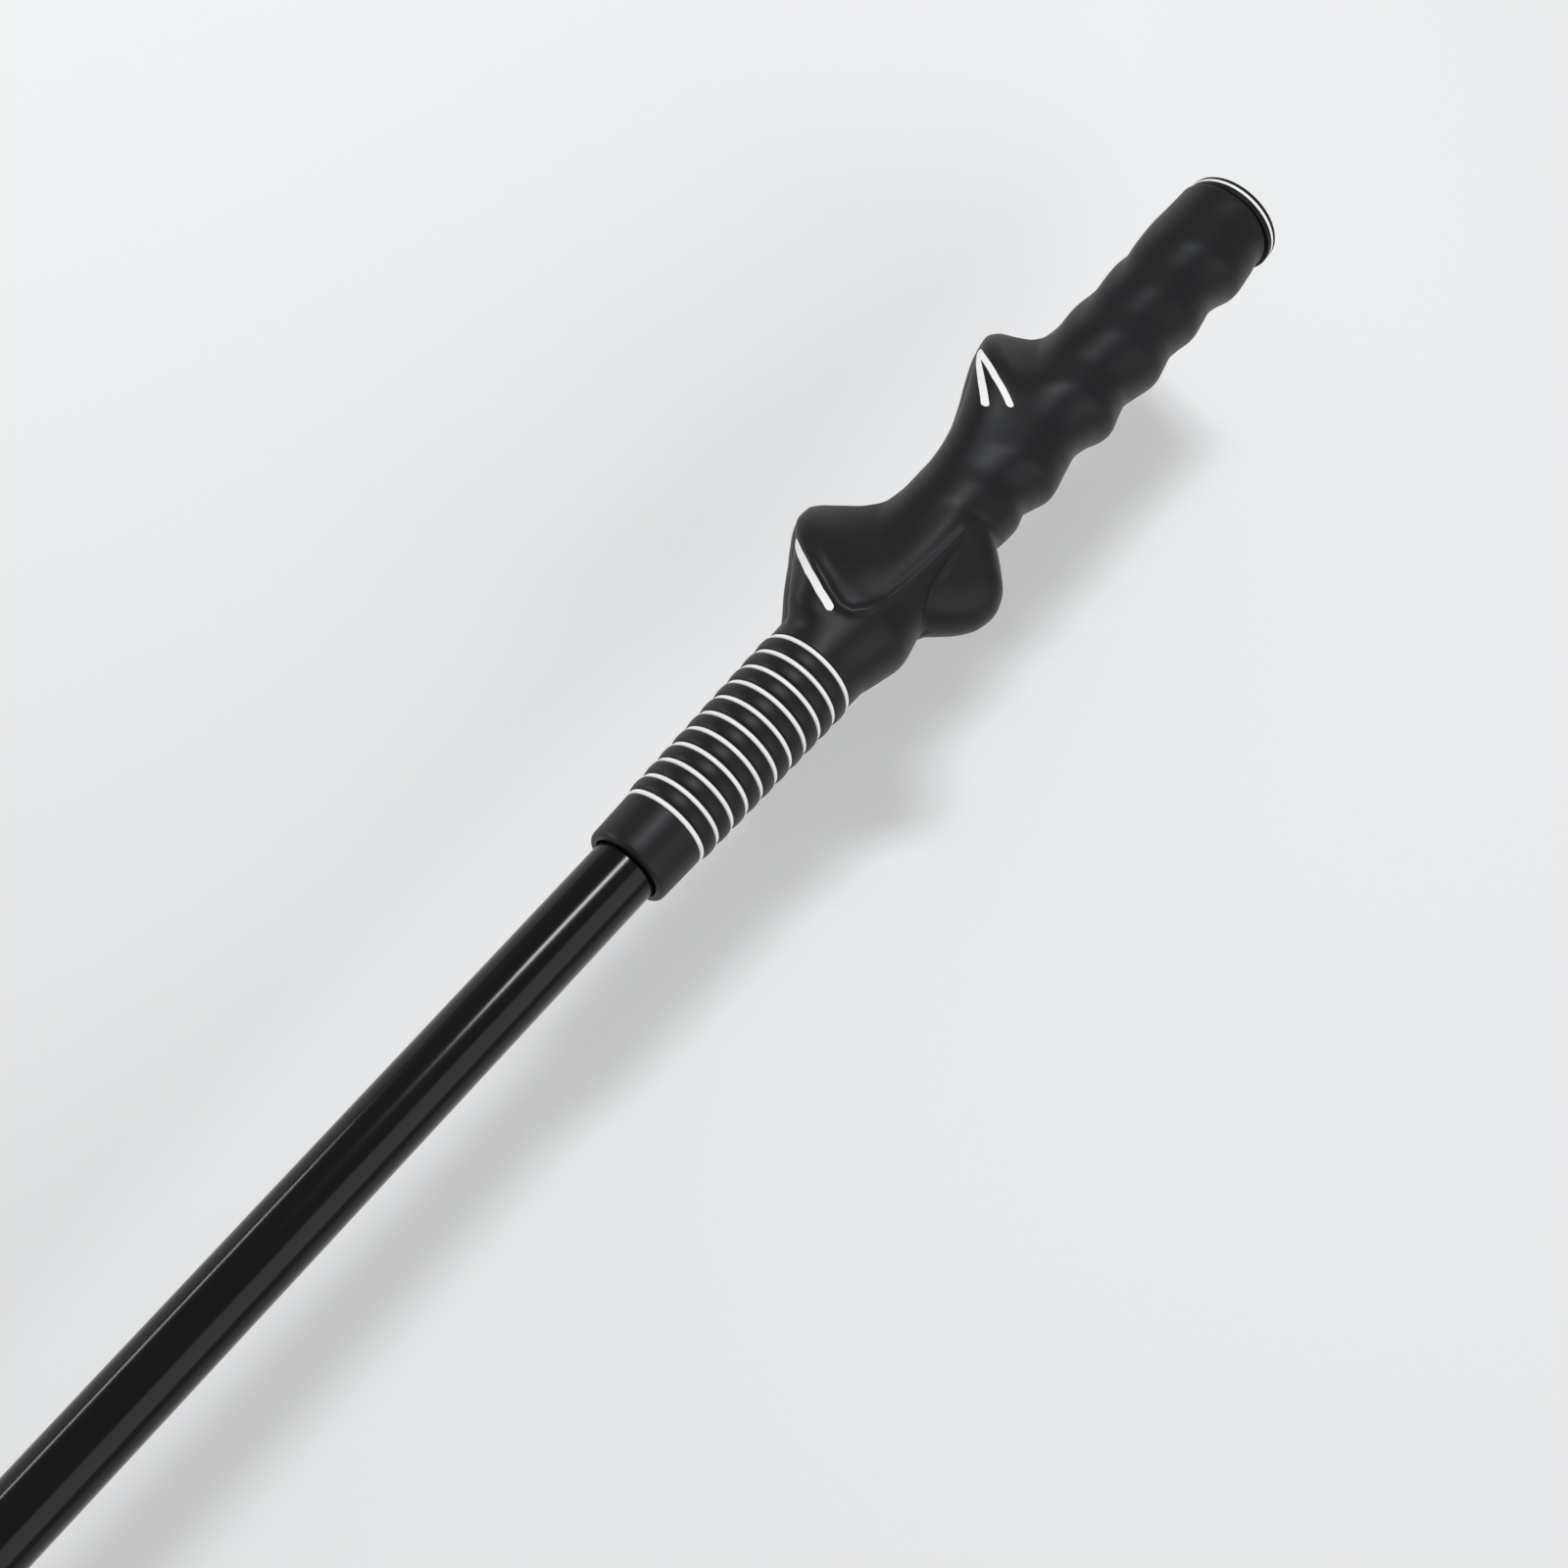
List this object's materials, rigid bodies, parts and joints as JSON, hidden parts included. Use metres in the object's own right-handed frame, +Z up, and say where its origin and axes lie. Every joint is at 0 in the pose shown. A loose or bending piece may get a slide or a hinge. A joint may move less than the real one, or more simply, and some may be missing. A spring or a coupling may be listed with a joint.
{
  "type": "golf ball retriever",
  "caption": "Telescopic golf ball retriever with a moulded hand-fitting grip, twist locks, a folding neck and an open ball cup with swinging bails.",
  "frame": {"origin": "centre of the vent hole in the butt face, on the shaft axis", "axes": "+X along the shaft from butt to ball cup, +Z up with the tool lying on its side, thumb crests of the grip towards -Y and finger trigger towards +Y"},
  "size_m": [0.8486, 0.061, 0.0342],
  "materials": {
    "grip_rubber": "matte moulded",
    "cap_rubber": "matte moulded",
    "mark_white": "white paint filling, on the rings and on the strokes of the thumb crests",
    "tube_black": "high gloss black",
    "section_metal": "satin anodised",
    "lock_plastic": "fine moulded texture",
    "bush_plastic": "natural acetal",
    "seal_rubber": "soft matte",
    "cup_plastic": "satin moulded",
    "steel": "bright drawn",
    "brass": "turned"
  },
  "bodies": {
    "handle": {"grip_sleeve": "grip_rubber", "butt_cap": "cap_rubber", "white_rings": "mark_white", "outer_tube": "tube_black", "stow_bumper": "seal_rubber", "lock_body_1": "lock_plastic", "collet_1": "bush_plastic"},
    "nut_1": {"twist_nut_1": "lock_plastic", "wiper_1": "seal_rubber"},
    "middle_section": {"middle_tube": "section_metal", "middle_bush": "bush_plastic", "lock_body_2": "lock_plastic", "collet_2": "bush_plastic"},
    "nut_2": {"twist_nut_2": "lock_plastic", "wiper_2": "seal_rubber"},
    "inner_section": {"inner_tube": "section_metal", "inner_bush": "bush_plastic", "fork_ferrule": "lock_plastic", "ferrule_rivet": "steel", "hinge_bolt": "steel", "knob_washer": "steel"},
    "knob": {"thumb_knob": "lock_plastic", "knob_insert": "brass"},
    "head": {"neck_arm": "lock_plastic", "cup_ring": "cup_plastic", "cup_screws": "steel"},
    "bail_left": {"bail_left": "steel"},
    "bail_right": {"bail_right": "steel"}
  },
  "joints": [
    {"name": "nut_1_twist", "type": "hinge", "parent": "handle", "child": "nut_1", "pos_m": [0.64, 0, 0], "axis": [1, 0, 0], "range_deg": [0, 120]},
    {"name": "middle_slide", "type": "slide", "parent": "handle", "child": "middle_section", "axis": [1, 0, 0], "range_m": [0, 0.55]},
    {"name": "nut_2_twist", "type": "hinge", "parent": "middle_section", "child": "nut_2", "pos_m": [0.697, 0, 0], "axis": [1, 0, 0], "range_deg": [0, 120]},
    {"name": "inner_slide", "type": "slide", "parent": "middle_section", "child": "inner_section", "axis": [1, 0, 0], "range_m": [0, 0.59]},
    {"name": "knob_twist", "type": "hinge", "parent": "inner_section", "child": "knob", "pos_m": [0.77, 0.015, 0], "axis": [0, 1, 0], "range_deg": [0, 180]},
    {"name": "neck_fold", "type": "hinge", "parent": "inner_section", "child": "head", "pos_m": [0.77, 0, 0], "axis": [0, 1, 0], "range_deg": [-90, 90]},
    {"name": "bail_left_swing", "type": "hinge", "parent": "head", "child": "bail_left", "pos_m": [0.81805, -0.02375, -0.0103], "axis": [1, 0, 0], "range_deg": [0, 86]},
    {"name": "bail_right_swing", "type": "hinge", "parent": "head", "child": "bail_right", "pos_m": [0.81805, 0.02375, -0.0103], "axis": [-1, 0, 0], "range_deg": [0, 86]}
  ]
}
